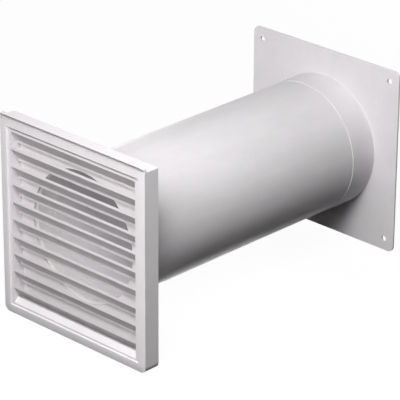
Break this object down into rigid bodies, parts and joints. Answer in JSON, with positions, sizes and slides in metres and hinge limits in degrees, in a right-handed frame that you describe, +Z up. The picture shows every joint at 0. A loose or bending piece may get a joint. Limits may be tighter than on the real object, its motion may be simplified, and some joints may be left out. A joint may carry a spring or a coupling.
{
  "type": "wall vent sleeve",
  "caption": "Square louvred outdoor grille joined by a round tube to a square room-side plate, so that air passes through a wall.",
  "frame": {"origin": "on the tube's axis, in the plane where the grille's base lies on the outer face of the wall", "axes": "+X to the right seen from outside, +Y along the tube from outside into the room, +Z up"},
  "size_m": [0.178, 0.3257, 0.1903],
  "materials": {
    "white_plastic": "satin off-white moulded plastic"
  },
  "bodies": {
    "root": {"louvre_cover": "white_plastic", "grille_base": "white_plastic", "duct_tube": "white_plastic", "wall_plate": "white_plastic"}
  },
  "joints": []
}
